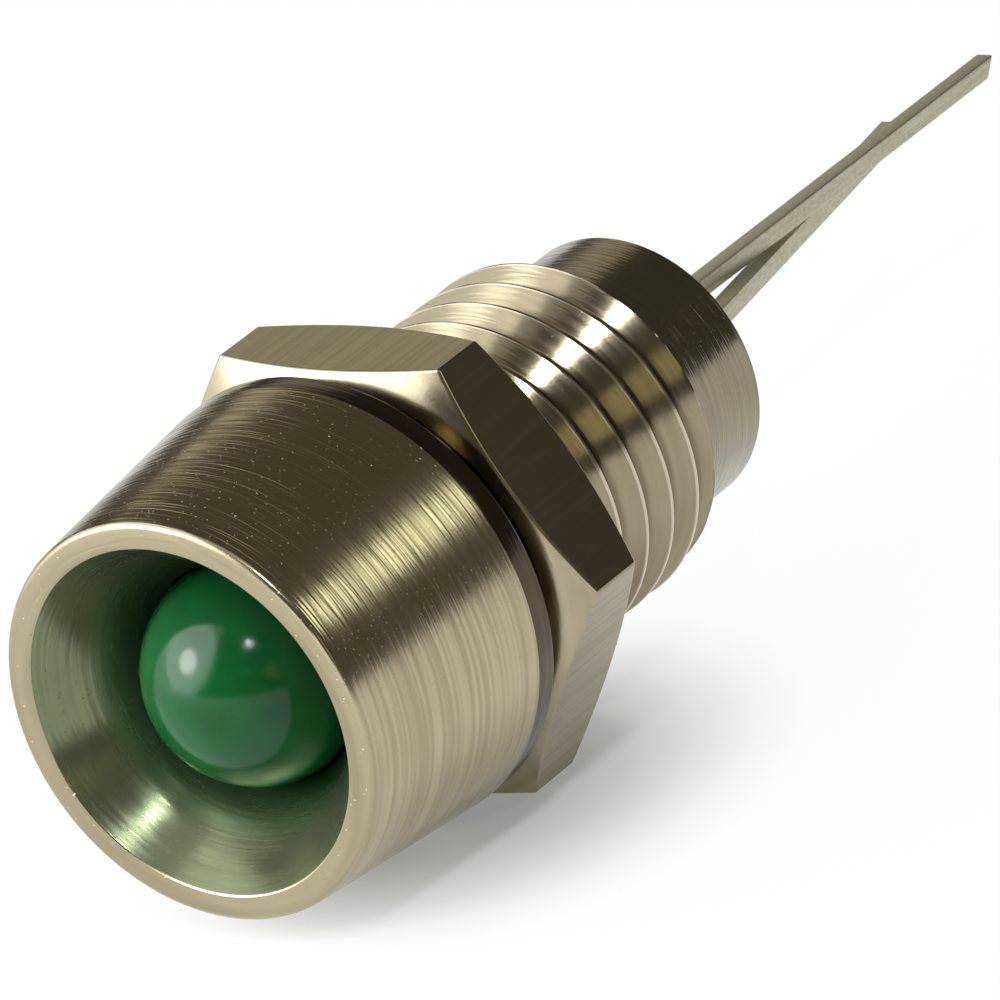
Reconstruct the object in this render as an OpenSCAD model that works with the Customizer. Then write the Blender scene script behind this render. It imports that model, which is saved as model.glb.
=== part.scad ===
// LED panel indicator: a turned metal bezel with a round lamp set in its cone,
// a threaded shank that carries one hexagon nut, and two lead wires out of the tail.
// The axis runs along Y. The lamp faces -Y and the wires leave towards +Y.
// The origin lies on the axis, in the plane of the bezel's mounting face.

/* [Bezel] */
// Length from the front rim to the mounting face
bezel_length = 6.15; // [5:0.05:9]
// Outer diameter of the flat front rim
rim_d = 9.26; // [8.8:0.02:10]
// Diameter of the cone's mouth inside the rim
mouth_d = 8.1; // [7:0.1:8.4]
// Depth of the cone, from the rim to the lamp's hole
cone_depth = 2.45; // [1.5:0.05:3.2]
// Diameter of the flange behind the rim
flange_d = 10.3; // [10.1:0.05:12]
// Length of the straight band at the flange's back
band_length = 0.6; // [0.3:0.05:1.2]
// Chamfer round the outside of the rim
rim_chamfer = 0.12; // [0.05:0.01:0.25]

/* [Shank] */
// Outside diameter of the thread
thread_d = 8; // [7.4:0.1:8.6]
// Length of the thread behind the mounting face
thread_length = 8.35; // [6:0.05:14]
// Chamfer at the thread's end
thread_chamfer = 0.15; // [0.1:0.05:0.7]
// Diameter of the plain tail
tail_d = 6.5; // [6.3:0.05:7]
// Length of the plain tail
tail_length = 2.85; // [1:0.05:6]

/* [Nut] */
// Width across the nut's flats
nut_flats = 10; // [10:0.5:13]
// Thickness of the nut
nut_thickness = 2.5; // [1.5:0.1:4]
// Gap between the mounting face and the nut
nut_gap = 0.48; // [0.1:0.02:2.5]
// Diameter of the flat face left inside the corner chamfers
nut_face_d = 9.4; // [9:0.1:9.8]
// Slope of the corner chamfers, in degrees
nut_chamfer_angle = 26; // [20:1:40]

/* [Lamp] */
// Diameter of the lamp's body and dome
lamp_d = 5; // [4.8:0.02:5]
// Length of the lamp from its tip to its base
lamp_length = 8.6; // [8:0.1:9.4]
// How far the tip sits behind the rim
tip_setback = 0.1; // [0:0.05:0.6]
// Diameter of the lamp's base flange
lamp_flange_d = 5.8; // [5.5:0.05:5.8]
// Thickness of the base flange
lamp_flange_t = 1; // [0.8:0.1:1.2]
// Length of the bush that holds the lamp from behind
bush_length = 5.2; // [3:0.1:6]

/* [Lead wires] */
// Distance between the two leads
lead_pitch = 2.54; // [2.4:0.02:2.6]
// Side of the square leads
lead_side = 0.45; // [0.4:0.01:0.5]
// Reach of the long lead behind the mounting face
anode_reach = 27.8; // [20:0.1:34]
// Reach of the short lead behind the mounting face
cathode_reach = 26; // [18:0.1:32]
// Sideways drift of the long lead at its tip
anode_drift = 0.23; // [0:0.01:0.4]
// Sideways bend of the short lead at its tip, where it has crossed under the long one
cathode_bend = 4.05; // [3.9:0.05:4.3]
// Fall of the short lead for each unit of its sideways bend
cathode_fall = 0.24; // [0.24:0.01:0.3]
// How much further the upper edge of a sheared tip reaches than the lower one
tip_shear = 0.35; // [0:0.05:0.45]

/* [Hidden] */
$fn = 96;

// Past this, a cutter clears the faces that it opens
over = 1;
edge_break = 0.08;

// Sections of the bezel, measured along the axis
rim_y = -bezel_length;
cone_end_y = rim_y + cone_depth;
thread_end_y = thread_length;
tail_end_y = thread_length + tail_length;
thread_r = thread_d / 2;

// The lamp sits on a shoulder in the bore, against its base flange
lamp_r = lamp_d / 2;
tip_y = rim_y + tip_setback;
dome_y = tip_y + lamp_r;
lamp_base_y = tip_y + lamp_length;
seat_y = lamp_base_y - lamp_flange_t;
lamp_clearance = 0.05;
bush_clearance = 0.03;
lamp_hole_r = lamp_r + lamp_clearance;
bush_r = lamp_flange_d / 2;
rear_bore_r = bush_r + bush_clearance;

// Clearance between the plain cylinders that stand for the nut's and the shank's threads
nut_clearance = 0.02;
nut_corner_r = nut_flats / 2 / cos(30);
nut_chamfer_h = (nut_corner_r - nut_face_d / 2) * tan(nut_chamfer_angle);
nut_countersink = 0.35;

// The lead frame inside the lamp, stamped from sheet as thick as the leads
lead_x = lead_pitch / 2;
lead_h = lead_side / 2;
cup_rim_y = tip_y + 4.9;
cup_rim_r = 0.62;
cup_base_r = 0.45;
cup_height = 0.55;
cup_well_r = 0.5;
cup_floor_r = 0.3;
cup_depth = 0.35;
anvil_shoulder = 0.9;
anvil_throat = 1.5;
anvil_foot = 1.9;
anvil_waist_x = 0.25;
chip_side = 0.28;
chip_h = 0.18;
chip_top_y = cup_rim_y + cup_depth - chip_h;
post_head_x = 0.85;
post_head_h = 0.25;
post_neck_h = 0.7;
wire_r = 0.025;
wire_span = 1.1;

// Where the leads leave the bush, and how they run on from there
bush_end_y = lamp_base_y + bush_length;
lead_hole_r = 0.4;
splay_y = bush_end_y + 0.3;
bend_soft = 0.5;
bend_steps = 5;
drift_steps = 8;

cathode_bend_at = [lead_x, splay_y, 0];
cathode_tip = [lead_x - cathode_bend, cathode_reach, -cathode_bend * cathode_fall];
cathode_heading = (cathode_tip - cathode_bend_at) / norm(cathode_tip - cathode_bend_at);
cathode_route = concat(
  [[lead_x, bush_end_y - bend_soft, 0]],
  [for (i = [0 : bend_steps])
    bend_point(cathode_bend_at, cathode_heading, i / bend_steps)],
  [cathode_tip]
);
anode_route = [
  for (i = [0 : drift_steps])
    let (t = i / drift_steps)
      [
        -lead_x + anode_drift * t * t,
        splay_y - bend_soft + t * (anode_reach - splay_y + bend_soft),
        0
      ]
];

// A point on the soft bend from straight back into a new heading
function bend_point(at, heading, t) =
  at + bend_soft * ((1 - t) * (1 - t) * [0, -1, 0] + t * t * heading);

// The four corners of a lead's square section at one point of its route,
// the lower two set back by the shear
function lead_corners(p, shear) = [
  for (c = [[-1, -1], [1, -1], [1, 1], [-1, 1]])
    p + lead_h * [c[0], 0, c[1]] + shear * (c[1] - 1) / 2
];

// Turns a profile of [radius, place along the axis] about the Y axis
module turned() {
  rotate([-90, 0, 0]) rotate_extrude() children();
}

// A cylinder along the axis between two places
module bar(r, from_y, to_y, sides = $fn) {
  translate([0, from_y, 0]) rotate([-90, 0, 0]) cylinder(r = r, h = to_y - from_y, $fn = sides);
}

// A square wire swept along its route to its sheared tip
module lead_run(route) {
  tip = len(route) - 1;
  last_run = route[tip] - route[tip - 1];
  shear = tip_shear * last_run / norm(last_run);
  corners = [for (i = [0 : tip]) each lead_corners(route[i], i == tip ? shear : [0, 0, 0])];
  sides = [
    for (i = [0 : tip - 1], j = [0 : 3])
      [4 * i + j, 4 * i + (j + 1) % 4, 4 * i + 4 + (j + 1) % 4, 4 * i + 4 + j]
  ];
  ends = [[3, 2, 1, 0], [for (j = [0 : 3]) 4 * tip + j]];
  polyhedron(corners, concat(sides, ends));
}

// A flat piece of the lead frame, cut from an outline in the plane of both leads
module stamped() {
  translate([0, 0, -lead_h]) linear_extrude(lead_side) children();
}

// The short lead's frame: a stem that leans in to the axis and ends in the cup
module cathode_frame(stem_end_y) {
  difference() {
    union() {
      stamped() polygon([
        [lead_x + lead_h, stem_end_y],
        [lead_x + lead_h, cup_rim_y + anvil_shoulder],
        [cup_base_r, cup_rim_y + cup_height / 2],
        [-cup_base_r, cup_rim_y + cup_height / 2],
        [-cup_base_r, cup_rim_y + cup_height],
        [-anvil_waist_x, cup_rim_y + anvil_throat],
        [lead_x - lead_h, cup_rim_y + anvil_foot],
        [lead_x - lead_h, stem_end_y]
      ]);
      turned() polygon([
        [0, cup_rim_y],
        [cup_rim_r, cup_rim_y],
        [cup_base_r, cup_rim_y + cup_height],
        [0, cup_rim_y + cup_height]
      ]);
    }
    turned() polygon([
      [0, cup_rim_y - over],
      [cup_well_r, cup_rim_y - over],
      [cup_well_r, cup_rim_y],
      [cup_floor_r, cup_rim_y + cup_depth],
      [0, cup_rim_y + cup_depth]
    ]);
  }
}

// The long lead's frame: a post with a head that the bond wire lands on
module anode_frame(stem_end_y) {
  stamped() polygon([
    [-lead_x - lead_h, stem_end_y],
    [-lead_x - lead_h, chip_top_y],
    [-post_head_x, chip_top_y],
    [-post_head_x, chip_top_y + post_head_h],
    [-lead_x + lead_h, chip_top_y + post_neck_h],
    [-lead_x + lead_h, stem_end_y]
  ]);
}

// One turned piece: rim, reflector cone, flange, thread and tail, bored through
module bezel_body() {
  color("#b8b097")
    turned() polygon([
      [mouth_d / 2, rim_y],
      [rim_d / 2 - rim_chamfer, rim_y],
      [rim_d / 2, rim_y + rim_chamfer],
      [flange_d / 2, -band_length],
      [flange_d / 2, -edge_break],
      [flange_d / 2 - edge_break, 0],
      [thread_r, 0],
      [thread_r, thread_end_y - thread_chamfer],
      [thread_r - thread_chamfer, thread_end_y],
      [tail_d / 2, thread_end_y],
      [tail_d / 2, tail_end_y - edge_break],
      [tail_d / 2 - edge_break, tail_end_y],
      [rear_bore_r, tail_end_y],
      [rear_bore_r, seat_y],
      [lamp_hole_r, seat_y],
      [lamp_hole_r, cone_end_y]
    ]);
}

// Hexagon nut with its corners turned off on both faces
module panel_nut() {
  color("#a39c86")
    translate([0, nut_gap, 0])
      difference() {
        intersection() {
          bar(nut_corner_r, 0, nut_thickness, 6);
          turned() polygon([
            [0, 0],
            [nut_face_d / 2, 0],
            [nut_corner_r, nut_chamfer_h],
            [nut_corner_r + over, nut_chamfer_h],
            [nut_corner_r + over, nut_thickness - nut_chamfer_h],
            [nut_corner_r, nut_thickness - nut_chamfer_h],
            [nut_face_d / 2, nut_thickness],
            [0, nut_thickness]
          ]);
        }
        bar(thread_r + nut_clearance, -over, nut_thickness + over);
        for (face = [0, 1])
          translate([0, face * nut_thickness, 0])
            rotate([face * 180, 0, 0])
              turned() polygon([
                [0, -over],
                [thread_r + nut_countersink, -over],
                [thread_r + nut_countersink, 0],
                [thread_r, nut_countersink],
                [0, nut_countersink]
              ]);
      }
}

// Clear tinted casting: dome, body and base flange, cast round the lead frame
module led_lens() {
  color("#1d6b35")
    difference() {
      union() {
        translate([0, dome_y, 0]) sphere(r = lamp_r);
        bar(lamp_r, dome_y, lamp_base_y);
        difference() {
          bar(lamp_flange_d / 2, seat_y, lamp_base_y);
          translate([lamp_r, seat_y - over, -lamp_flange_d])
            cube([lamp_flange_d, lamp_flange_t + 2 * over, 2 * lamp_flange_d]);
        }
      }
      cathode_frame(lamp_base_y + over);
      anode_frame(lamp_base_y + over);
      chip_block();
      wire_arch();
    }
}

// Stem, cup and the short wire, bent across under the long one
module cathode_lead() {
  color("#b3a48c") {
    cathode_frame(bush_end_y - bend_soft);
    lead_run(cathode_route);
  }
}

// Stem, post and the long wire
module anode_lead() {
  color("#b3a48c") {
    anode_frame(splay_y - bend_soft);
    lead_run(anode_route);
  }
}

// The die's block on the floor of the cup
module chip_block() {
  translate([-chip_side / 2, chip_top_y, -chip_side / 2]) cube([chip_side, chip_h, chip_side]);
}

// The die that gives the light
module led_chip() {
  color("#d8d070") chip_block();
}

// A half ring from the die's top to the head of the post
module wire_arch() {
  translate([-wire_span / 2, chip_top_y, 0])
    rotate([0, 0, 180])
      rotate_extrude(angle = 180)
        translate([wire_span / 2, 0]) circle(r = wire_r);
}

// Fine wire that joins the die to the long lead
module bond_wire() {
  color("#d4a93a") wire_arch();
}

// Plastic plug that is pushed in behind the lamp and keeps the leads apart
module retaining_bush() {
  color("#26262a")
    difference() {
      turned() polygon([
        [0, lamp_base_y],
        [bush_r - edge_break, lamp_base_y],
        [bush_r, lamp_base_y + edge_break],
        [bush_r, bush_end_y - edge_break],
        [bush_r - edge_break, bush_end_y],
        [0, bush_end_y]
      ]);
      for (side = [-1, 1])
        translate([side * lead_x, 0, 0])
          bar(lead_hole_r, lamp_base_y - over, bush_end_y + over);
    }
}

bezel_body();
panel_nut();
led_lens();
cathode_lead();
anode_lead();
led_chip();
bond_wire();
retaining_bush();
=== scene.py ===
"""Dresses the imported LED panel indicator: a turned nickel bezel with its lamp, nut, bush and leads.

Sizes are in millimetres in the part's own frame. The axis runs along Y, the lamp faces -Y,
and the origin lies on the axis in the plane of the bezel's mounting face.
"""

import logging
import math
from dataclasses import dataclass, field
from enum import Enum
from typing import Callable, Mapping, Optional, Protocol, Sequence, Union

import bmesh
import bpy
from mathutils import Matrix, Vector


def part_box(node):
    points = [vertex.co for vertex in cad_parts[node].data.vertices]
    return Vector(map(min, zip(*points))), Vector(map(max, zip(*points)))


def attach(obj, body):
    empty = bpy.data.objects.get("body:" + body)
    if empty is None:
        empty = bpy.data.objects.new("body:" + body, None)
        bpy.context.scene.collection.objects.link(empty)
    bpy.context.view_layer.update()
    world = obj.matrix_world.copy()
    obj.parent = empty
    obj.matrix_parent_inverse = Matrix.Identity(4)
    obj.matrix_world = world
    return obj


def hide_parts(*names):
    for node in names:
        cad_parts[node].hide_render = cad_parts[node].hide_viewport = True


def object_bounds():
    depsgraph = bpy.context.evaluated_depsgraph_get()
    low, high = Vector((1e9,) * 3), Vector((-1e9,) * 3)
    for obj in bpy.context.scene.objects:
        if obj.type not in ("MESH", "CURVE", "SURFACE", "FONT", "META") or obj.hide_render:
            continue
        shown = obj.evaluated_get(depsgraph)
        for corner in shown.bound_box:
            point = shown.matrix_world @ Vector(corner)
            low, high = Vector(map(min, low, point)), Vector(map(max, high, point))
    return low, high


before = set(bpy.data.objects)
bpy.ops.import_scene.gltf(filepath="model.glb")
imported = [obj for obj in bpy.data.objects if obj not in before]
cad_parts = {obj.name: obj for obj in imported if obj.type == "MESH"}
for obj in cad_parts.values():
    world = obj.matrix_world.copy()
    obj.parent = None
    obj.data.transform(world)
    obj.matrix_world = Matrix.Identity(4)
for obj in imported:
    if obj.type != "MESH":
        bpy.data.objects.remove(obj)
CAD_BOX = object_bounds()

LOG = logging.getLogger("indicator")
MM = 0.001
BODY = "root"
# Points closer than this become one, in metres.
WELD = 1e-7
# Faces round the axis of a turned piece.
COLUMNS = 192
# Steps in the rounding of an edge.
EDGE_STEPS = 3
# Share of a step away from the axis that moves a line round the axis on to the next.
RADIAL_SHARE = 0.35
# Smallest distance from the axis that a finish divides by, in millimetres.
AXIS_RADIUS = 0.01
# Middle of a noise's values.
NOISE_MIDDLE = 0.5
# Places of a Mix node's colour sockets, whose names repeat.
MIX_FACTOR, MIX_FIRST, MIX_SECOND, MIX_RESULT = 0, 6, 7, 2

Colour = tuple[float, float, float]
Key = Union[int, str]
Operand = Union["Signal", float]
Ring = Callable[[float], tuple[float, float]]


class Signal:
    """One output of a node tree, which can stand in a Python expression."""

    def __init__(self, wiring: "Wiring", node: bpy.types.Node, output: Key = 0) -> None:
        """Keeps the output and where it belongs.

        Args:
            wiring: The wiring of the node's tree.
            node: The node.
            output: Name or place of its output.
        """
        self.wiring = wiring
        self.node = node
        self.output = output

    @property
    def socket(self) -> bpy.types.NodeSocket:
        """The output's socket."""
        return self.node.outputs[self.output]

    def of(self, output: Key) -> "Signal":
        """Gives another output of the same node."""
        return Signal(self.wiring, self.node, output)

    def math(self, operation: str, *others: Operand) -> "Signal":
        """Adds one Math node with this signal as its first value."""
        return self.wiring.math(operation, self, *others)

    def __add__(self, other: Operand) -> "Signal":
        """Sum."""
        return self.math("ADD", other)

    def __radd__(self, other: Operand) -> "Signal":
        """Sum with a number on the left."""
        return self.wiring.math("ADD", other, self)

    def __sub__(self, other: Operand) -> "Signal":
        """Difference."""
        return self.math("SUBTRACT", other)

    def __rsub__(self, other: Operand) -> "Signal":
        """Difference from a number on the left."""
        return self.wiring.math("SUBTRACT", other, self)

    def __mul__(self, other: Operand) -> "Signal":
        """Product."""
        return self.math("MULTIPLY", other)

    def __rmul__(self, other: Operand) -> "Signal":
        """Product with a number on the left."""
        return self.wiring.math("MULTIPLY", other, self)

    def __truediv__(self, other: Operand) -> "Signal":
        """Quotient."""
        return self.math("DIVIDE", other)

    def __rtruediv__(self, other: Operand) -> "Signal":
        """Quotient with a number on the left."""
        return self.wiring.math("DIVIDE", other, self)

    def __abs__(self) -> "Signal":
        """Size without sign."""
        return self.math("ABSOLUTE")

    def least(self, other: Operand) -> "Signal":
        """The smaller of the two."""
        return self.math("MINIMUM", other)

    def most(self, other: Operand) -> "Signal":
        """The larger of the two."""
        return self.math("MAXIMUM", other)

    def ramp(self, low: float, high: float) -> "Signal":
        """Rises smoothly from 0 to 1.

        Args:
            low: Value at which it is 0.
            high: Value at which it is 1.

        Returns:
            The rise.
        """
        return self.wiring.node(
            "ShaderNodeMapRange",
            {"interpolation_type": "SMOOTHSTEP"},
            {"Value": self, "From Min": low, "From Max": high},
        )


class Wiring:
    """Adds nodes to one tree and joins them."""

    def __init__(self, tree: bpy.types.NodeTree) -> None:
        """Keeps the tree that the nodes go into."""
        self.tree = tree

    def node(
        self,
        kind: str,
        settings: Optional[Mapping[str, object]] = None,
        sockets: Optional[Mapping[Key, object]] = None,
        output: Key = 0,
    ) -> Signal:
        """Adds one node.

        Args:
            kind: The node's type.
            settings: Its properties, which are set first.
            sockets: Values or signals for its inputs, by name or place.
            output: The output that is wanted.

        Returns:
            The signal of that output.
        """
        node = self.tree.nodes.new(kind)
        for name, value in (settings or {}).items():
            setattr(node, name, value)
        for key, value in (sockets or {}).items():
            self.feed(node.inputs[key], value)
        return Signal(self, node, output)

    def feed(self, socket: bpy.types.NodeSocket, value: object) -> None:
        """Links a signal to an input, or sets the input's own value.

        Args:
            socket: The input.
            value: A signal, a list of signals, a number, a colour or a data block.
        """
        if isinstance(value, Signal):
            self.tree.links.new(value.socket, socket)
        elif isinstance(value, list):
            for one in value:
                self.tree.links.new(one.socket, socket)
        elif socket.type == "RGBA" and len(value) == 3:
            socket.default_value = (*value, 1.0)
        else:
            socket.default_value = value

    def math(self, operation: str, *values: Operand) -> Signal:
        """Adds one Math node."""
        return self.node("ShaderNodeMath", {"operation": operation}, dict(enumerate(values)))

    def blend(self, factor: Operand, first: object, second: object) -> Signal:
        """Mixes two colours.

        Args:
            factor: Share of the second colour.
            first: Colour or signal at 0.
            second: Colour or signal at 1.

        Returns:
            The mixed colour.
        """
        sockets = {MIX_FACTOR: factor, MIX_FIRST: first, MIX_SECOND: second}
        return self.node("ShaderNodeMix", {"data_type": "RGBA"}, sockets, MIX_RESULT)

    def noise(self, vector: Signal, scale: float = 1.0, detail: float = 2.0) -> Signal:
        """Adds a noise texture, from 0 to 1.

        Args:
            vector: Where it is read.
            scale: How many lumps there are to one unit.
            detail: Number of finer layers.

        Returns:
            The noise's value.
        """
        sockets = {"Vector": vector, "Scale": scale, "Detail": detail}
        return self.node("ShaderNodeTexNoise", None, sockets)

    def join(self, x: Operand, y: Operand, z: Operand) -> Signal:
        """Makes a vector from three values."""
        return self.node("ShaderNodeCombineXYZ", None, {"X": x, "Y": y, "Z": z})


class Surface:
    """A material under construction: its shader, and the place on the part in millimetres."""

    def __init__(self, name: str) -> None:
        """Starts a material with one shader.

        Args:
            name: The material's name.
        """
        self.material = bpy.data.materials.new(name)
        self.material.use_nodes = True
        tree = self.material.node_tree
        self.shader = next(n for n in tree.nodes if n.type == "BSDF_PRINCIPLED")
        self.wiring = Wiring(tree)
        raw = self.wiring.node("ShaderNodeTexCoord", output="Object")
        self.place = self.wiring.node(
            "ShaderNodeVectorMath", {"operation": "SCALE"}, {0: raw, "Scale": 1 / MM}
        )
        self.x = self.wiring.node("ShaderNodeSeparateXYZ", None, {0: self.place}, "X")
        self.y = self.x.of("Y")
        self.z = self.x.of("Z")
        self.radius = (self.x * self.x + self.z * self.z).math("SQRT").most(AXIS_RADIUS)

    def set(self, **values: object) -> None:
        """Sets the shader's inputs.

        Args:
            **values: Value or signal for each input, its name in lower case with underscores.
        """
        for name, value in values.items():
            wanted = name.replace("_", " ")
            socket = next(s for s in self.shader.inputs if s.name.lower() == wanted)
            self.wiring.feed(socket, value)

    def bump(self, height: Signal, depth: float) -> None:
        """Presses a height into the surface.

        Args:
            height: The height at each place.
            depth: What a height of 1 stands for, in millimetres.
        """
        normal = self.wiring.node(
            "ShaderNodeBump", None, {"Strength": 1.0, "Distance": depth * MM, "Height": height}
        )
        self.set(normal=normal)

    def round_the_axis(self, line: float, arc: float) -> Signal:
        """Gives coordinates in which a noise becomes fine lines round the axis.

        Args:
            line: Width of a line, in millimetres.
            arc: How often a line changes on its way round.

        Returns:
            The vector to read the noise at.
        """
        across = (self.y + self.radius * RADIAL_SHARE) / line
        return self.wiring.join(self.x / self.radius * arc, across, self.z / self.radius * arc)

    def along_the_axis(self, line: float, run: float) -> Signal:
        """Gives coordinates in which a noise becomes fine lines along the axis.

        Args:
            line: Width of a line, in millimetres.
            run: Length of a line, in millimetres.

        Returns:
            The vector to read the noise at.
        """
        return self.wiring.join(self.x / line, self.y / run, self.z / line)


class Lay(Enum):
    """Which way the tool marks of a metal face run."""

    ROUND = "round the axis"
    ALONG = "along the axis"


@dataclass(frozen=True)
class Tint:
    """A change of colour from one distance from the axis to another, in millimetres."""

    colour: Colour
    clear_r: float
    full_r: float
    share: float = 1.0

    def lay_on(self, surface: Surface, colour: Signal) -> Signal:
        """Blends the tint in, from none at clear_r to its full share at full_r.

        Args:
            surface: The surface that is tinted.
            colour: Its colour so far.

        Returns:
            The colour with the tint.
        """
        low, high = sorted((self.clear_r, self.full_r))
        rise = surface.radius.ramp(low, high)
        cover = rise if self.full_r > self.clear_r else 1 - rise
        return surface.wiring.blend(cover * self.share, colour, self.colour)


class Finish(Protocol):
    """What every finish can do."""

    def make(self) -> bpy.types.Material:
        """Builds the material."""


@dataclass(frozen=True)
class NickelPlate:
    """Warm nickel plating over tool marks, with lines, runs and depths in millimetres."""

    name: str
    lay: Lay
    colour: Colour = (0.46, 0.41, 0.275)
    stain: Colour = (0.36, 0.31, 0.195)
    metallic: float = 1.0
    gloss: float = 0.15
    dulling: float = 0.08
    line: float = 0.2
    run: float = 0.8
    depth: float = 0.0015
    contrast: float = 0.5
    groove_line: float = 0.22
    groove_run: float = 1.2
    groove_depth: float = 0.0018
    groove_half: float = 0.1
    pit_line: float = 0.09
    pit_run: float = 26.0
    pit_depth: float = 0.0
    pit_size: float = 0.14
    grain_scale: float = 16.0
    grain_depth: float = 0.0004
    cloud_scale: float = 0.5
    dull_span: tuple[float, float] = (0.36, 0.66)
    tints: tuple[Tint, ...] = ()

    def make(self) -> bpy.types.Material:
        """Builds the plating.

        Returns:
            The material.
        """
        surface = Surface(self.name)
        wiring = surface.wiring
        lines = surface.round_the_axis if self.lay is Lay.ROUND else surface.along_the_axis
        rings = wiring.noise(lines(self.line, self.run), detail=1.0)
        swing = wiring.noise(lines(self.groove_line, self.groove_run), detail=1.0)
        grooves = abs(swing - NOISE_MIDDLE).ramp(0.0, self.groove_half)
        spots = lines(self.pit_line, self.pit_run)
        cells = wiring.node("ShaderNodeTexVoronoi", None, {"Vector": spots, "Scale": 1.0})
        pits = cells.ramp(0.0, self.pit_size)
        grain = wiring.noise(surface.place, self.grain_scale)
        cloud = wiring.noise(surface.place, self.cloud_scale, detail=3.0)
        marks = rings * self.depth + grooves * self.groove_depth + pits * self.pit_depth
        surface.bump(marks + grain * self.grain_depth, 1.0)
        dull = (cloud * (1 - self.contrast) + rings * self.contrast).ramp(*self.dull_span)
        colour = wiring.blend(dull, self.colour, self.stain)
        for tint in self.tints:
            colour = tint.lay_on(surface, colour)
        surface.set(
            base_color=colour,
            metallic=self.metallic,
            roughness=self.gloss + dull * self.dulling,
        )
        return surface.material


@dataclass(frozen=True)
class GreenCasting:
    """Tinted casting of the lamp, cloudy below a glossy skin."""

    name: str = "green_casting"
    colour: Colour = (0.004, 0.095, 0.023)
    deep: Colour = (0.003, 0.075, 0.018)
    cloud_scale: float = 0.8
    cloud_span: tuple[float, float] = (0.3, 0.7)
    gloss: float = 0.15
    handling: float = 0.05
    handling_scale: float = 6.0
    handling_span: tuple[float, float] = (0.45, 0.75)
    ripple_scale: float = 0.6
    ripple_depth: float = 0.003
    ior: float = 1.4
    bleed: float = 0.8
    bleed_reach: Colour = (0.3, 1.0, 0.45)
    bleed_depth: float = 1.2

    def make(self) -> bpy.types.Material:
        """Builds the casting.

        Returns:
            The material.
        """
        surface = Surface(self.name)
        wiring = surface.wiring
        cloud = wiring.noise(surface.place, self.cloud_scale)
        touched = wiring.noise(surface.place, self.handling_scale, detail=3.0)
        surface.bump(wiring.noise(surface.place, self.ripple_scale, detail=0.0), self.ripple_depth)
        surface.set(
            base_color=wiring.blend(cloud.ramp(*self.cloud_span), self.deep, self.colour),
            roughness=self.gloss + touched.ramp(*self.handling_span) * self.handling,
            ior=self.ior,
            subsurface_weight=self.bleed,
            subsurface_radius=self.bleed_reach,
            subsurface_scale=self.bleed_depth * MM,
        )
        return surface.material


@dataclass(frozen=True)
class TinnedWire:
    """Satin tin on a drawn and stamped lead."""

    name: str = "tinned_wire"
    colour: Colour = (0.55, 0.53, 0.41)
    dull: Colour = (0.47, 0.44, 0.32)
    line: float = 0.05
    run: float = 2.5
    grain_scale: float = 9.0
    patch_span: tuple[float, float] = (0.35, 0.7)
    drawn_share: float = 0.7
    depth: float = 0.003
    gloss: float = 0.48
    dulling: float = 0.12

    def make(self) -> bpy.types.Material:
        """Builds the tin.

        Returns:
            The material.
        """
        surface = Surface(self.name)
        wiring = surface.wiring
        drawn = wiring.noise(surface.along_the_axis(self.line, self.run))
        grain = wiring.noise(surface.place, self.grain_scale, detail=3.0)
        patch = ((drawn + grain) / 2).ramp(*self.patch_span)
        surface.bump(drawn * self.drawn_share + grain * (1 - self.drawn_share), self.depth)
        surface.set(
            base_color=wiring.blend(patch, self.colour, self.dull),
            metallic=1.0,
            roughness=self.gloss + patch * self.dulling,
        )
        return surface.material


@dataclass(frozen=True)
class BlackMoulding:
    """Matt black plastic of the bush."""

    name: str = "black_moulding"
    colour: Colour = (0.016, 0.016, 0.018)
    pale: Colour = (0.035, 0.035, 0.037)
    spark_scale: float = 14.0
    spark_span: tuple[float, float] = (0.4, 0.8)
    depth: float = 0.012
    gloss: float = 0.48
    dulling: float = 0.2

    def make(self) -> bpy.types.Material:
        """Builds the plastic.

        Returns:
            The material.
        """
        surface = Surface(self.name)
        wiring = surface.wiring
        spark = wiring.noise(surface.place, self.spark_scale, detail=3.0)
        surface.bump(spark, self.depth)
        surface.set(
            base_color=wiring.blend(spark.ramp(*self.spark_span), self.colour, self.pale),
            roughness=self.gloss + spark * self.dulling,
        )
        return surface.material


@dataclass(frozen=True)
class DieCrystal:
    """Pale yellow crystal of the die, with a faint grain."""

    name: str = "die_crystal"
    colour: Colour = (0.66, 0.58, 0.16)
    edge: Colour = (0.42, 0.36, 0.1)
    grain_scale: float = 30.0
    gloss: float = 0.3
    dulling: float = 0.2

    def make(self) -> bpy.types.Material:
        """Builds the crystal.

        Returns:
            The material.
        """
        surface = Surface(self.name)
        grain = surface.wiring.noise(surface.place, self.grain_scale)
        surface.set(
            base_color=surface.wiring.blend(grain, self.edge, self.colour),
            roughness=self.gloss + grain * self.dulling,
        )
        return surface.material


@dataclass(frozen=True)
class GoldWire:
    """Bright drawn gold of the bond wire."""

    name: str = "gold_wire"
    colour: Colour = (0.83, 0.58, 0.2)
    dull: Colour = (0.7, 0.45, 0.14)
    grain_scale: float = 40.0
    gloss: float = 0.18
    dulling: float = 0.12

    def make(self) -> bpy.types.Material:
        """Builds the gold.

        Returns:
            The material.
        """
        surface = Surface(self.name)
        grain = surface.wiring.noise(surface.place, self.grain_scale)
        surface.set(
            base_color=surface.wiring.blend(grain, self.colour, self.dull),
            metallic=1.0,
            roughness=self.gloss + grain * self.dulling,
        )
        return surface.material


@dataclass(frozen=True)
class Corner:
    """A corner of a turned profile: its radius from the axis, its place on it, and its rounding."""

    r: float
    y: float
    rounding: float = 0.0


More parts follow.
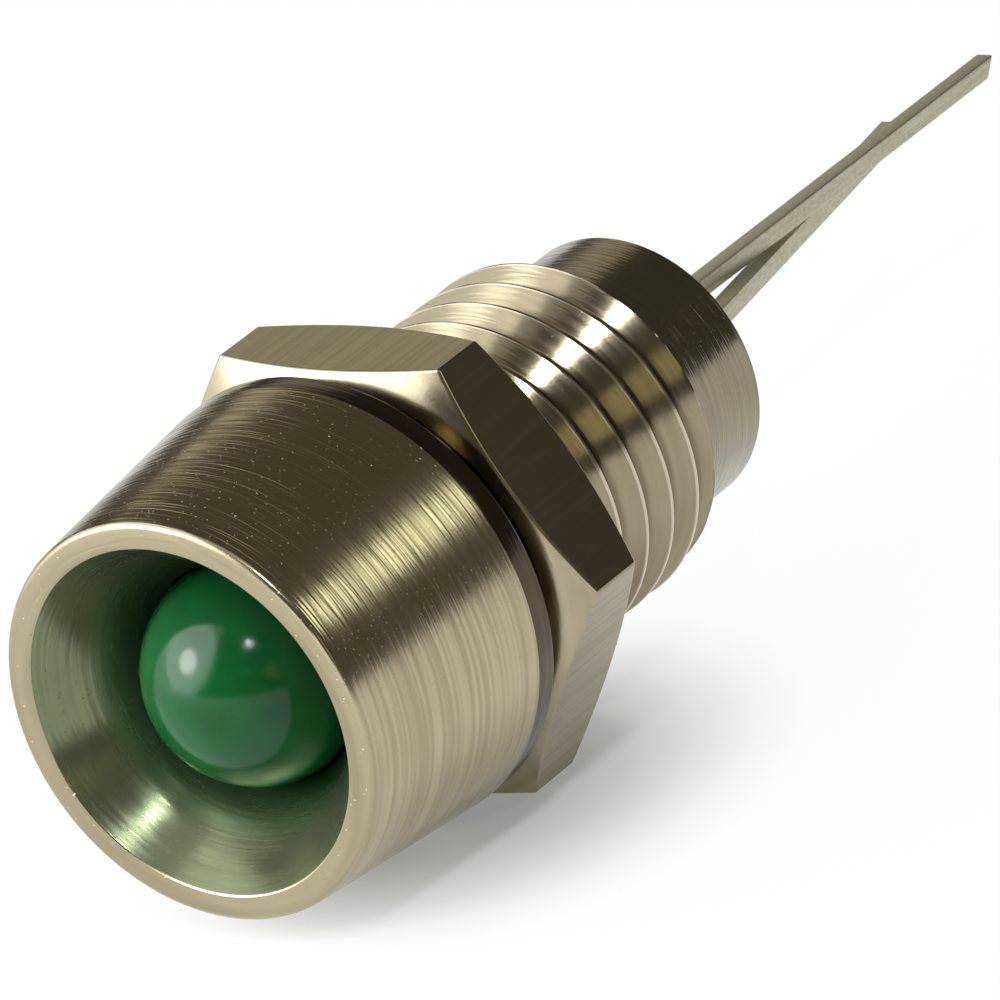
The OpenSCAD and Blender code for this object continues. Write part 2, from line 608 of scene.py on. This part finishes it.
def rounded(corners: Sequence[Corner], steps: int = 4) -> list[tuple[float, float]]:
    """Rounds the corners of an open profile with arcs.

    Args:
        corners: The corners in order.
        steps: Steps in each arc.

    Returns:
        The points of the profile as radius and place.
    """
    points: list[tuple[float, float]] = []
    for index, corner in enumerate(corners):
        here = Vector((corner.r, corner.y))
        if corner.rounding == 0 or index in (0, len(corners) - 1):
            points.append((here.x, here.y))
            continue
        before, after = corners[index - 1], corners[index + 1]
        inward = (Vector((before.r, before.y)) - here).normalized()
        onward = (Vector((after.r, after.y)) - here).normalized()
        half = inward.angle(onward) / 2
        reach = corner.rounding / math.tan(half)
        centre = here + (inward + onward).normalized() * corner.rounding / math.sin(half)
        first = (here + inward * reach - centre).normalized()
        last = (here + onward * reach - centre).normalized()
        for step in range(steps + 1):
            point = centre + first.slerp(last, step / steps) * corner.rounding
            points.append((point.x, point.y))
    return points


def steady(points: Sequence[tuple[float, float]]) -> list[Ring]:
    """Turns profile points into rings that are the same all the way round."""
    return [lambda angle, point=point: point for point in points]


def revolve(name: str, rings: Sequence[Ring], closed: bool = False) -> bpy.types.Mesh:
    """Turns a profile about the axis.

    Args:
        name: The mesh's name.
        rings: Radius and place of each ring at an angle, in millimetres.
        closed: Whether the last ring joins the first.

    Returns:
        The mesh, welded, in metres.
    """
    form = bmesh.new()
    grid = []
    for ring in rings:
        row = []
        for column in range(COLUMNS):
            angle = 2 * math.pi * column / COLUMNS
            r, y = ring(angle)
            row.append(form.verts.new(Vector((r * math.cos(angle), y, -r * math.sin(angle))) * MM))
        grid.append(row)
    pairs = list(zip(grid, grid[1:]))
    if closed:
        pairs.append((grid[-1], grid[0]))
    for low, high in pairs:
        for column in range(COLUMNS):
            following = (column + 1) % COLUMNS
            form.faces.new((low[column], low[following], high[following], high[column]))
    bmesh.ops.remove_doubles(form, verts=form.verts, dist=WELD)
    mesh = bpy.data.meshes.new(name)
    form.to_mesh(mesh)
    form.free()
    return mesh


def close_up(mesh: bpy.types.Mesh, sharp_deg: float) -> None:
    """Welds a mesh, turns its faces outwards and smooths all but its sharp edges.

    Args:
        mesh: The mesh to finish.
        sharp_deg: Angle above which an edge stays sharp.
    """
    form = bmesh.new()
    form.from_mesh(mesh)
    bmesh.ops.remove_doubles(form, verts=form.verts, dist=WELD)
    bmesh.ops.recalc_face_normals(form, faces=form.faces)
    form.to_mesh(mesh)
    form.free()
    mesh.shade_smooth()
    mesh.set_sharp_from_angle(angle=math.radians(sharp_deg))


def place(name: str, mesh: bpy.types.Mesh) -> bpy.types.Object:
    """Puts a mesh into the scene as an object at the origin.

    Args:
        name: The object's name.
        mesh: Its mesh.

    Returns:
        The object.
    """
    piece = bpy.data.objects.new(name, mesh)
    bpy.context.scene.collection.objects.link(piece)
    return piece


def apply_modifiers(piece: bpy.types.Object) -> None:
    """Turns a piece's modifiers into plain mesh and removes them.

    Args:
        piece: The piece.
    """
    evaluated = piece.evaluated_get(bpy.context.evaluated_depsgraph_get())
    mesh = bpy.data.meshes.new_from_object(evaluated)
    piece.modifiers.clear()
    piece.data = mesh


def round_edges(
    piece: bpy.types.Object, width: float, from_deg: float, harden: bool = False
) -> None:
    """Rounds the edges of a piece and turns the result into plain mesh.

    Args:
        piece: The piece.
        width: Width of the rounding, in millimetres.
        from_deg: Angle above which an edge is rounded.
        harden: Whether the faces beside a rounded edge stay shaded flat.
    """
    bevel = piece.modifiers.new("rounded_edges", "BEVEL")
    bevel.width = width * MM
    bevel.segments = EDGE_STEPS
    bevel.limit_method = "ANGLE"
    bevel.angle_limit = math.radians(from_deg)
    bevel.harden_normals = harden
    apply_modifiers(piece)


def hand_over(piece: bpy.types.Object, node: str) -> None:
    """Makes a piece stand for a CAD node and reports it.

    Args:
        piece: The finished piece.
        node: The CAD node that it replaces.
    """
    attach(piece, BODY)
    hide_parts(node)
    LOG.info("%s: %d faces for %s", piece.name, len(piece.data.polygons), node)


@dataclass
class ScrewThread:
    """Right-hand thread of the shank, as a Geometry Nodes tree."""

    start: float
    end: float
    major_r: float
    pitch: float = 1.0
    phase: float = 0.42
    depth: float = 0.39
    run_out: float = 0.6
    end_chamfer: float = 0.15
    end_step: float = 0.005
    crest_share: float = 0.06
    root_share: float = 0.04
    steps_per_turn: int = 32
    spare_turns: int = 2

    @property
    def root_r(self) -> float:
        """Radius at the root of the groove."""
        return self.major_r - self.depth

    @property
    def end_r(self) -> float:
        """Radius of the end face's edge, just inside the root."""
        return self.root_r - self.end_step

    @property
    def rows(self) -> int:
        """Rows of the grid, enough for the length and the spare turns, and one for the end face."""
        turns = (self.end - self.start) / self.pitch + self.spare_turns
        return math.ceil(turns * self.steps_per_turn) + 2

    def sizes(self) -> dict[str, float]:
        """Gives the tree's number inputs.

        Returns:
            Each value by name, in metres, and the phase in turns.
        """
        return {
            "Start": self.start * MM,
            "End": self.end * MM,
            "Major Radius": self.major_r * MM,
            "Root Radius": self.root_r * MM,
            "End Radius": self.end_r * MM,
            "Pitch": self.pitch * MM,
            "Phase": self.phase,
            "Run Out": self.run_out * MM,
            "End Chamfer": self.end_chamfer * MM,
            "Row Step": self.pitch / self.steps_per_turn * MM,
        }

    def tree(self) -> bpy.types.NodeTree:
        """Builds the tree that winds the thread and joins it to the turned body.

        Returns:
            The node group.
        """
        group = bpy.data.node_groups.new("wind_thread", "GeometryNodeTree")
        face = group.interface
        face.new_socket("Body", in_out="INPUT", socket_type="NodeSocketGeometry")
        for name in self.sizes():
            face.new_socket(name, in_out="INPUT", socket_type="NodeSocketFloat")
        for name in ("Columns", "Rows"):
            face.new_socket(name, in_out="INPUT", socket_type="NodeSocketInt")
        face.new_socket("Material", in_out="INPUT", socket_type="NodeSocketMaterial")
        face.new_socket("Body", in_out="OUTPUT", socket_type="NodeSocketGeometry")
        wiring = Wiring(group)
        given = wiring.node("NodeGroupInput")
        grid = wiring.node(
            "GeometryNodeMeshGrid",
            None,
            {
                "Size X": 1.0,
                "Size Y": 1.0,
                "Vertices X": given.of("Columns") + 1,
                "Vertices Y": given.of("Rows"),
            },
        )
        wound = wiring.node(
            "GeometryNodeSetPosition", None, {"Geometry": grid, "Position": self.wind(wiring, given)}
        )
        joined = wiring.node("GeometryNodeJoinGeometry", None, {"Geometry": [given.of("Body"), wound]})
        welded = wiring.node("GeometryNodeMergeByDistance", None, {"Geometry": joined, "Distance": WELD})
        real = wiring.node("GeometryNodeRealizeInstances", None, {"Geometry": welded})
        dressed = wiring.node(
            "GeometryNodeSetMaterial", None, {"Geometry": real, "Material": given.of("Material")}
        )
        wiring.node("NodeGroupOutput", None, {"Body": dressed})
        return group

    def wind(self, wiring: Wiring, given: Signal) -> Signal:
        """Works out where each point of the flat grid goes on the thread.

        Args:
            wiring: The tree's wiring.
            given: The group's inputs.

        Returns:
            The point's place.
        """
        point = wiring.node("GeometryNodeInputPosition")
        flat = wiring.node("ShaderNodeSeparateXYZ", None, {0: point}, "X")
        # The grid is 1 wide and 1 high about its middle.
        turn = flat + 0.5
        row = ((flat.of("Y") + 0.5) * (given.of("Rows") - 1)).math("ROUND")
        lead = row * given.of("Row Step")
        pitch, start, end = given.of("Pitch"), given.of("Start"), given.of("End")
        major, root = given.of("Major Radius"), given.of("Root Radius")
        free = start - pitch * self.spare_turns + lead + pitch * (turn + given.of("Phase"))
        along = free.most(start).least(end)
        swing = abs(((lead + along - free) / pitch).math("FRACT") * 2 - 1)
        climb = ((swing - self.root_share) / (1 - self.crest_share - self.root_share)).most(0).least(1)
        run_in = (1 - (along - start) / given.of("Run Out")).most(0).least(1)
        radius = root + (major - root) * climb.most(run_in)
        radius = radius.least(major - given.of("End Chamfer") + end - along)
        # The last row is drawn in to the edge of the end face.
        last = row.math("GREATER_THAN", given.of("Rows") - 1.5)
        radius = radius + (given.of("End Radius") - radius) * last
        angle = turn * (2 * math.pi)
        across = radius * angle.math("COSINE")
        upward = radius * angle.math("SINE") * -1
        return wiring.join(across, along, upward)

    def wind_on(self, piece: bpy.types.Object, material: bpy.types.Material) -> None:
        """Winds the thread onto a turned body.

        Args:
            piece: The body, open between the thread's start and end.
            material: The finish of the whole piece.
        """
        group = self.tree()
        modifier = piece.modifiers.new("wind_thread", "NODES")
        modifier.node_group = group
        values: dict[str, object] = dict(self.sizes())
        values.update({"Columns": COLUMNS, "Rows": self.rows, "Material": material})
        for item in group.interface.items_tree:
            if item.in_out == "INPUT" and item.name in values:
                modifier[item.identifier] = values[item.name]
        apply_modifiers(piece)


class Zone(Enum):
    """The zones of the turned body, each with tool marks of its own."""

    CONE = "outside of the bezel and its rim"
    REFLECTOR = "cone round the lamp and its hole"
    BAND = "straight band at the flange's back"
    THREAD = "threaded shank"
    TAIL = "plain tail and rear bore"


@dataclass
class BezelBody:
    """The turned body: rim, reflector cone, flange, thread and tail, bored through."""

    node: str = "bezel_body"
    rim_d: float = 9.26
    mouth_d: float = 8.1
    cone_depth: float = 2.45
    band_length: float = 0.6
    thread_d: float = 8.0
    thread_length: float = 8.35
    tail_d: float = 6.5
    lamp_hole_d: float = 5.1
    seat_y: float = 1.55
    rear_bore_d: float = 5.86
    rim_edge: float = 0.14
    soft_edge: float = 0.07
    rim_margin: float = 0.05
    wall_margin: float = 0.1
    sharp_deg: float = 28.0

    def corners(self, thread: ScrewThread) -> list[Corner]:
        """Lays out the section, from the thread's start round the front to its end.

        Args:
            thread: The thread that closes the section.

        Returns:
            The corners in order.
        """
        low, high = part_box(self.node)
        rim_y, tail_y, flange_r = low.y / MM, high.y / MM, high.z / MM
        return [
            Corner(thread.major_r, 0),
            Corner(flange_r, 0, self.soft_edge),
            Corner(flange_r, -self.band_length, self.soft_edge),
            Corner(self.rim_d / 2, rim_y, self.rim_edge),
            Corner(self.mouth_d / 2, rim_y, self.soft_edge),
            Corner(self.lamp_hole_d / 2, rim_y + self.cone_depth, self.soft_edge),
            Corner(self.lamp_hole_d / 2, self.seat_y),
            Corner(self.rear_bore_d / 2, self.seat_y),
            Corner(self.rear_bore_d / 2, tail_y, self.soft_edge),
            Corner(self.tail_d / 2, tail_y, self.soft_edge),
            Corner(self.tail_d / 2, self.thread_length, self.soft_edge),
            Corner(thread.end_r, self.thread_length),
        ]

    def build(self, finishes: Mapping[Zone, NickelPlate]) -> bpy.types.Object:
        """Turns the body, winds its thread and plates each zone.

        Args:
            finishes: The plating of each zone.

        Returns:
            The finished piece.
        """
        thread = ScrewThread(0.0, self.thread_length, self.thread_d / 2)
        piece = place("turned_bezel", revolve("turned_bezel", steady(rounded(self.corners(thread)))))
        zones = list(finishes)
        materials = [finishes[zone].make() for zone in zones]
        thread.wind_on(piece, materials[0])
        close_up(piece.data, self.sharp_deg)
        piece.data.materials.clear()
        for material in materials:
            piece.data.materials.append(material)
        rim_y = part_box(self.node)[0].y / MM
        for polygon in piece.data.polygons:
            polygon.material_index = zones.index(self.zone_at(polygon.center / MM, rim_y))
        hand_over(piece, self.node)
        return piece

    def zone_at(self, spot: Vector, rim_y: float) -> Zone:
        """Tells which zone of the body a face belongs to.

        Args:
            spot: The face's centre, in millimetres.
            rim_y: Place of the rim's front.

        Returns:
            The zone.
        """
        radius = math.hypot(spot.x, spot.z)
        in_bore = radius < self.rear_bore_d / 2 + self.soft_edge
        if in_bore or spot.y > self.thread_length - self.soft_edge:
            return Zone.TAIL if spot.y > 0 else Zone.REFLECTOR
        if spot.y > 0:
            return Zone.THREAD
        if spot.y > -self.band_length + self.soft_edge:
            return Zone.BAND
        slope = (self.mouth_d - self.lamp_hole_d) / 2 / self.cone_depth
        wall_r = self.mouth_d / 2 - (spot.y - rim_y) * slope
        inside = spot.y > rim_y + self.rim_margin and radius < wall_r + self.wall_margin
        return Zone.REFLECTOR if inside else Zone.CONE


@dataclass
class PanelNut:
    """The hexagon nut, with its corners turned off on both faces."""

    node: str = "panel_nut"
    face_d: float = 9.4
    chamfer_deg: float = 26.0
    bore_d: float = 8.04
    countersink: float = 0.33
    edge: float = 0.05
    edge_deg: float = 20.0
    sharp_deg: float = 12.0
    flat_lean: float = 0.1
    flat_share: float = 0.95

    def rings(self) -> list[Ring]:
        """Lays out the nut's section at any angle.

        Returns:
            The rings in order, from the front of the bore round the outside to its back.
        """
        low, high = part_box(self.node)
        front, back, flat_r = low.y / MM, high.y / MM, high.z / MM
        slope = math.tan(math.radians(self.chamfer_deg))
        face_r, bore_r = self.face_d / 2, self.bore_d / 2

        def side(angle: float) -> float:
            """Distance from the axis to the hexagon's side."""
            sector = (angle + math.pi / 6) % (math.pi / 3) - math.pi / 6
            return flat_r / math.cos(math.pi / 6 - abs(sector))

        def drop(angle: float) -> float:
            """Depth of the corner chamfer at the hexagon's side."""
            return (side(angle) - face_r) * slope

        inner = bore_r + self.countersink
        return [
            lambda a: (bore_r, front + self.countersink),
            lambda a: (inner, front),
            lambda a: (face_r, front),
            lambda a: (side(a), front + drop(a)),
            lambda a: (side(a), back - drop(a)),
            lambda a: (face_r, back),
            lambda a: (inner, back),
            lambda a: (bore_r, back - self.countersink),
        ]

    def build(self, turned: NickelPlate, drawn: NickelPlate) -> bpy.types.Object:
        """Makes the nut, breaks its edges and plates it.

        Args:
            turned: Plating of the faces, chamfers and bore.
            drawn: Plating of the six flats.

        Returns:
            The finished piece.
        """
        mesh = revolve("hexagon_nut", self.rings(), closed=True)
        piece = place("hexagon_nut", mesh)
        mesh.materials.append(turned.make())
        mesh.materials.append(drawn.make())
        close_up(mesh, self.sharp_deg)
        round_edges(piece, self.edge, self.edge_deg, harden=True)
        outer_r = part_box(self.node)[1].z * self.flat_share
        for polygon in piece.data.polygons:
            far_out = math.hypot(polygon.center.x, polygon.center.z) > outer_r
            polygon.material_index = int(far_out and abs(polygon.normal.y) < self.flat_lean)
        hand_over(piece, self.node)
        return piece


@dataclass
class Lamp:
    """The lamp's casting: dome, body and base flange with its flat."""

    node: str = "led_lens"
    lamp_d: float = 5.0
    flange_t: float = 1.0
    foot_length: float = 1.0
    flat_x: float = 2.5
    dome_steps: int = 40
    edge: float = 0.08
    sharp_deg: float = 40.0

    def build(self, finish: GreenCasting) -> bpy.types.Object:
        """Casts the lamp.

        Args:
            finish: The casting's finish.

        Returns:
            The finished piece.
        """
        low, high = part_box(self.node)
        tip_y, base_y, flange_r = low.y / MM, high.y / MM, high.z / MM
        lamp_r = self.lamp_d / 2
        dome = [
            (lamp_r * math.sin(t), tip_y + lamp_r - lamp_r * math.cos(t))
            for t in (math.pi / 2 * step / self.dome_steps for step in range(self.dome_steps + 1))
        ]
        seat_y = base_y - self.flange_t
        foot = rounded([
            Corner(lamp_r, seat_y - self.foot_length),
            Corner(lamp_r, seat_y, self.edge),
            Corner(flange_r, seat_y, self.edge),
            Corner(flange_r, base_y, self.edge),
            Corner(0, base_y),
        ])
        piece = place("green_lamp", revolve("green_lamp", steady(dome + foot)))
        for vertex in piece.data.vertices:
            vertex.co.x = min(vertex.co.x, self.flat_x * MM)
        close_up(piece.data, self.sharp_deg)
        piece.data.materials.append(finish.make())
        hand_over(piece, self.node)
        return piece


@dataclass
class Leads:
    """The two square lead wires with their frames inside the lamp."""

    nodes: tuple[str, str] = ("anode_lead", "cathode_lead")
    names: tuple[str, str] = ("long_lead", "short_lead")
    edge: float = 0.045
    edge_deg: float = 40.0
    level_deg: float = 1.0
    sharp_deg: float = 32.0

    def build(self, finish: TinnedWire) -> list[bpy.types.Object]:
        """Rounds the wires' edges and tins them.

        Args:
            finish: The tin.

        Returns:
            The finished pieces.
        """
        material = finish.make()
        pieces = []
        for node, name in zip(self.nodes, self.names):
            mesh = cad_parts[node].data.copy()
            mesh.name = name
            mesh.materials.clear()
            mesh.materials.append(material)
            self.clear_spare_edges(mesh)
            piece = place(name, mesh)
            round_edges(piece, self.edge, self.edge_deg)
            piece.data.shade_smooth()
            piece.data.set_sharp_from_angle(angle=math.radians(self.sharp_deg))
            hand_over(piece, node)
            pieces.append(piece)
        return pieces

    def clear_spare_edges(self, mesh: bpy.types.Mesh) -> None:
        """Welds a copied wire and clears the edges that lie within its flat faces.

        Args:
            mesh: The wire's mesh.
        """
        form = bmesh.new()
        form.from_mesh(mesh)
        bmesh.ops.remove_doubles(form, verts=form.verts, dist=WELD)
        bmesh.ops.dissolve_limit(
            form, angle_limit=math.radians(self.level_deg), verts=form.verts, edges=form.edges
        )
        form.to_mesh(mesh)
        form.free()


@dataclass
class InnerParts:
    """Solids that keep their CAD form and only take a finish."""

    finishes: dict[str, Finish] = field(
        default_factory=lambda: {
            "retaining_bush": BlackMoulding(),
            "led_chip": DieCrystal(),
            "bond_wire": GoldWire(),
        }
    )

    def dress(self) -> None:
        """Gives each solid its finish."""
        for node, finish in self.finishes.items():
            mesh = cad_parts[node].data
            mesh.materials.clear()
            mesh.materials.append(finish.make())
            LOG.info("%s: dressed", node)


@dataclass(frozen=True)
class SoftLight:
    """A soft round panel: its heading from the part in degrees, and its sizes in metres."""

    name: str
    azimuth: float
    elevation: float
    distance: float
    width: float
    height: float
    strength: float
    colour: Colour

    def build(self) -> None:
        """Hangs the panel so that it faces the part."""
        data = bpy.data.lights.new(self.name, "AREA")
        data.shape = "ELLIPSE"
        data.size = self.width
        data.size_y = self.height
        data.color = self.colour
        data.energy = self.strength * math.pi * self.width * self.height
        lamp = bpy.data.objects.new(self.name, data)
        lamp.visible_camera = False
        bpy.context.scene.collection.objects.link(lamp)
        lamp.location = heading(self.azimuth, self.elevation) * self.distance
        lamp.rotation_euler = lamp.location.to_track_quat("Z", "Y").to_euler()


def heading(azimuth: float, elevation: float) -> Vector:
    """Gives the direction of a heading from the part.

    Args:
        azimuth: Degrees from -Y towards +X.
        elevation: Degrees above the floor.

    Returns:
        The direction, of length 1.
    """
    turn, rise = math.radians(azimuth), math.radians(elevation)
    level = math.cos(rise)
    return Vector((math.sin(turn) * level, -math.cos(turn) * level, math.sin(rise)))


@dataclass
class Studio:
    """Floor, lights, room and camera.

    The camera and the metal see the floor lifted towards white. The lift is small where the part
    touches the floor, which keeps the shadow, and is full from lift_end on. It fades far away, and
    in front outside the camera's view, so that the metal mirrors a room that darkens outwards.
    """

    azimuth: float = 39.07
    elevation: float = 22.62
    roll: float = 12.96
    distance: float = 245.0
    aim: tuple[float, float, float] = (2.128, 2.974, 0.961)
    lens: float = 414.0
    sensor: float = 36.0
    clip: tuple[float, float] = (0.01, 10.0)
    floor_size: float = 3.0
    floor_colour: Colour = (0.86, 0.86, 0.85)
    floor_roughness: float = 0.9
    contact: tuple[float, float] = (1.0, 0.8)
    contact_stretch: float = 0.8
    near_lift: float = 0.25
    far_lift: float = 0.96
    lift_start: float = 2.0
    lift_end: float = 7.5
    fade_start: float = 250.0
    fade_end: float = 900.0
    front_start: float = 16.0
    front_end: float = 36.0
    front_slant: float = 0.5
    room: Colour = (0.1, 0.09, 0.072)
    lights: tuple[SoftLight, ...] = (
        SoftLight("left_glow", -62, 34, 0.33, 0.6, 0.6, 1.1, (0.98, 0.99, 1.0)),
        SoftLight("left_panel", -41, 28, 0.31, 0.33, 0.38, 2.4, (0.98, 0.99, 1.0)),
        SoftLight("left_core", -39, 24, 0.29, 0.1, 0.1, 9.0, (0.98, 0.99, 0.95)),
        SoftLight("ceiling", 0, 82, 0.4, 0.3, 0.3, 0.4, (1.0, 0.97, 0.9)),
        SoftLight("spot", 36.3, 48.8, 0.4, 0.04, 0.04, 35.0, (0.95, 0.98, 1.0)),
        SoftLight("streak", 54, 58, 0.4, 0.04, 0.04, 50.0, (0.95, 0.98, 1.0)),
        SoftLight("right_panel", 126, 31, 0.4, 0.11, 0.11, 2.2, (0.95, 1.0, 0.85)),
        SoftLight("back_panel", -144, 22, 0.4, 0.22, 0.14, 0.41, (1.0, 0.94, 0.72)),
        SoftLight("camera_side", 55, 17, 0.4, 0.12, 0.12, 0.4, (1.0, 0.92, 0.5)),
    )

    def build(self) -> None:
        """Sets up everything round the part."""
        self.build_floor()
        self.build_room()
        for light in self.lights:
            light.build()
        self.build_camera()

    def build_floor(self) -> None:
        """Lays a pale floor under the part."""
        mesh = bpy.data.meshes.new("floor")
        half = self.floor_size / 2
        level = CAD_BOX[0][2]
        mesh.from_pydata(
            [(-half, -half, level), (half, -half, level), (half, half, level), (-half, half, level)],
            [],
            [(0, 1, 2, 3)],
        )
        floor = place("floor", mesh)
        mesh.materials.append(self.floor_finish())

    def floor_finish(self) -> bpy.types.Material:
        """Builds the floor's finish, white where it is seen or mirrored.

        Returns:
            The material.
        """
        surface = Surface("pale_floor")
        wiring = surface.wiring
        surface.set(base_color=self.floor_colour, roughness=self.floor_roughness)
        path = wiring.node("ShaderNodeLightPath", output="Is Camera Ray")
        seen = path.most(path.of("Is Glossy Ray")).most(path.of("Is Transmission Ray"))
        white = wiring.node("ShaderNodeEmission", None, {"Color": (1.0, 1.0, 1.0), "Strength": 1.0})
        shade = Signal(wiring, surface.shader)
        across = surface.x - self.contact[0]
        along = (surface.y - self.contact[1]) * self.contact_stretch
        away = (across * across + along * along).math("SQRT")
        spread = away.ramp(self.lift_start, self.lift_end) * (self.far_lift - self.near_lift)
        ahead = surface.x.most(0) * self.front_slant - surface.y
        front = ahead.ramp(self.front_start, self.front_end)
        fade = (1 - away.ramp(self.fade_start, self.fade_end)) * (1 - front)
        lift = seen * (spread + self.near_lift) * fade
        mixed = wiring.node("ShaderNodeMixShader", None, {0: lift, 1: shade, 2: white})
        output = next(n for n in surface.material.node_tree.nodes if n.type == "OUTPUT_MATERIAL")
        wiring.feed(output.inputs["Surface"], mixed)
        return surface.material

    def build_room(self) -> None:
        """Makes the room a dim warm brown."""
        world = bpy.data.worlds.new("room")
        world.use_nodes = True
        bpy.context.scene.world = world
        background = next(n for n in world.node_tree.nodes if n.type == "BACKGROUND")
        background.inputs["Color"].default_value = (*self.room, 1.0)
        background.inputs["Strength"].default_value = 1.0

    def build_camera(self) -> None:
        """Sets the camera at the photograph's viewing angle."""
        data = bpy.data.cameras.new("camera")
        data.lens = self.lens
        data.sensor_width = self.sensor
        data.clip_start, data.clip_end = self.clip
        camera = bpy.data.objects.new("camera", data)
        bpy.context.scene.collection.objects.link(camera)
        back = heading(self.azimuth, self.elevation)
        roll = Matrix.Rotation(-math.radians(self.roll), 3, "Z")
        turn = back.to_track_quat("Z", "Y").to_matrix() @ roll
        spot = (Vector(self.aim) + back * self.distance) * MM
        camera.matrix_world = Matrix.Translation(spot) @ turn.to_4x4()
        bpy.context.scene.camera = camera


BEZEL_FINISHES = {
    Zone.CONE: NickelPlate(
        "turned_nickel", Lay.ROUND, (0.47, 0.42, 0.275), (0.38, 0.335, 0.215), gloss=0.18, line=0.14,
        contrast=0.85, depth=0.0012, groove_line=0.16, groove_depth=0.003, pit_depth=0.009,
    ),
    # The reflector's dark green-grey colour is painted shade and painted green light from the lamp. Its
    # tint, greener towards the lamp hole, is a painted green glow from the lamp.
    Zone.REFLECTOR: NickelPlate(
        "reflector_painted_glow_nickel", Lay.ROUND, (0.2, 0.228, 0.13), (0.16, 0.186, 0.104), metallic=0.8,
        gloss=0.17, dulling=0.12, line=0.06, run=0.6, depth=0.002, groove_depth=0.0, pit_depth=0.006,
        tints=(Tint((0.03, 0.12, 0.04), 3.5, 2.6, 0.8),),
    ),
    # The band's very dark colour is painted shade: it stands for the shadow and dark reflections in the
    # narrow gap between the flange and the nut.
    Zone.BAND: NickelPlate(
        "band_painted_shade_nickel", Lay.ROUND, (0.1, 0.078, 0.05), (0.075, 0.056, 0.034), depth=0.001
    ),
    # The thread is darker than the cone's nickel on the same plated body: painted shade for the dimmer
    # floor that it mirrors. The first tint, darker towards the groove's root, is painted shade in the
    # grooves. The second tint makes the crests paler.
    Zone.THREAD: NickelPlate(
        "thread_painted_shade_nickel", Lay.ROUND, (0.34, 0.3, 0.205), (0.3, 0.262, 0.175), gloss=0.13, dulling=0.06,
        line=0.12, depth=0.0004, groove_depth=0.0005, grain_depth=0.0002, pit_depth=0.0015,
        tints=(Tint((0.16, 0.13, 0.08), 3.74, 3.62, 0.8), Tint((0.58, 0.53, 0.4), 3.97, 3.995)),
    ),
    # The tail is darker than the cone's nickel on the same plated body: painted shade for the shadowed
    # floor that it mirrors.
    Zone.TAIL: NickelPlate(
        "tail_painted_shade_nickel", Lay.ROUND, (0.28, 0.25, 0.172), (0.235, 0.208, 0.14), line=0.1, groove_line=0.12,
        groove_depth=0.002, pit_depth=0.005,
    ),
}
NUT_FACES = NickelPlate(
    "faced_nickel", Lay.ROUND, (0.43, 0.385, 0.27), (0.37, 0.325, 0.215), gloss=0.13, depth=0.0004,
    groove_depth=0.0004, pit_depth=0.0015,
)
NUT_FLATS = NickelPlate(
    "drawn_nickel", Lay.ALONG, (0.33, 0.29, 0.19), (0.27, 0.235, 0.15), gloss=0.12, dulling=0.06,
    line=0.12, run=6.0, depth=0.0006, contrast=0.7, groove_line=0.25, groove_run=5.0,
    groove_depth=0.0008,
)


def main() -> None:
    """Builds the part's pieces in order, then the studio round them."""
    logging.basicConfig(level=logging.INFO, format="%(name)s %(message)s")
    bpy.context.scene.view_settings.view_transform = "Standard"
    BezelBody().build(BEZEL_FINISHES)
    PanelNut().build(NUT_FACES, NUT_FLATS)
    Lamp().build(GreenCasting())
    Leads().build(TinnedWire())
    InnerParts().dress()
    Studio().build()


if __name__ == "__main__":
    main()
